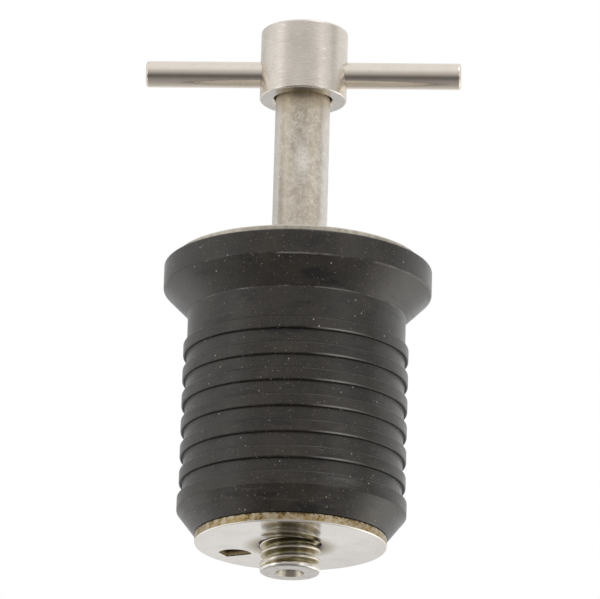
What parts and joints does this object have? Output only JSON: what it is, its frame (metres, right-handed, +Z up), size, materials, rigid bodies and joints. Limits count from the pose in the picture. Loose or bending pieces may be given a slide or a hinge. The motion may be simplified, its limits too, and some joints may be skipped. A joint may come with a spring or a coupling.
{
  "type": "expanding drain plug",
  "caption": "Expanding rubber drain plug with a cross-bar handle: turning the handle screws the bottom plate up and squeezes the ribbed rubber to seal a boat's drain tube.",
  "frame": {"origin": "on the plug's axis, in the plane where the neck meets the 45 degree seat under the flange, which lands on the rim of the drain tube", "axes": "+Z up the axis from the rubber to the T handle, +X along the handle's cross bar at rest, +Y away from a viewer in front"},
  "size_m": [0.0508, 0.0428, 0.0901],
  "materials": {
    "rubber": "moulded rubber, satin, scuffed and dusty",
    "top_plate_steel": "weathered stainless steel with a rough grey-beige edge",
    "bottom_plate_steel": "polished stainless steel, rim stained brown",
    "stem_steel": "dull stainless steel with water stains, bright thread",
    "collar_steel": "turned stainless steel",
    "hub_steel": "turned stainless steel with fine tool marks",
    "bar_steel": "smooth satin stainless steel"
  },
  "bodies": {
    "plug_body": {"rubber_plug": "rubber", "top_plate": "top_plate_steel"},
    "handle": {"stem": "stem_steel", "thrust_collar": "collar_steel", "handle_hub": "hub_steel", "t_bar": "bar_steel"},
    "clamp_plate": {"bottom_plate": "bottom_plate_steel"}
  },
  "joints": [
    {"name": "handle_turn", "type": "hinge", "parent": "plug_body", "child": "handle", "pos_m": [0, 0, 0], "axis": [0, 0, -1], "range_deg": [0, 1260]},
    {"name": "plate_lift", "type": "slide", "parent": "plug_body", "child": "clamp_plate", "axis": [0, 0, 1], "range_m": [0, 0.0056], "deforming": ["rubber_plug"]}
  ],
  "couplings": [
    {"joint": "plate_lift", "follows": "handle_turn", "m_per_rad": 0.00025266}
  ]
}
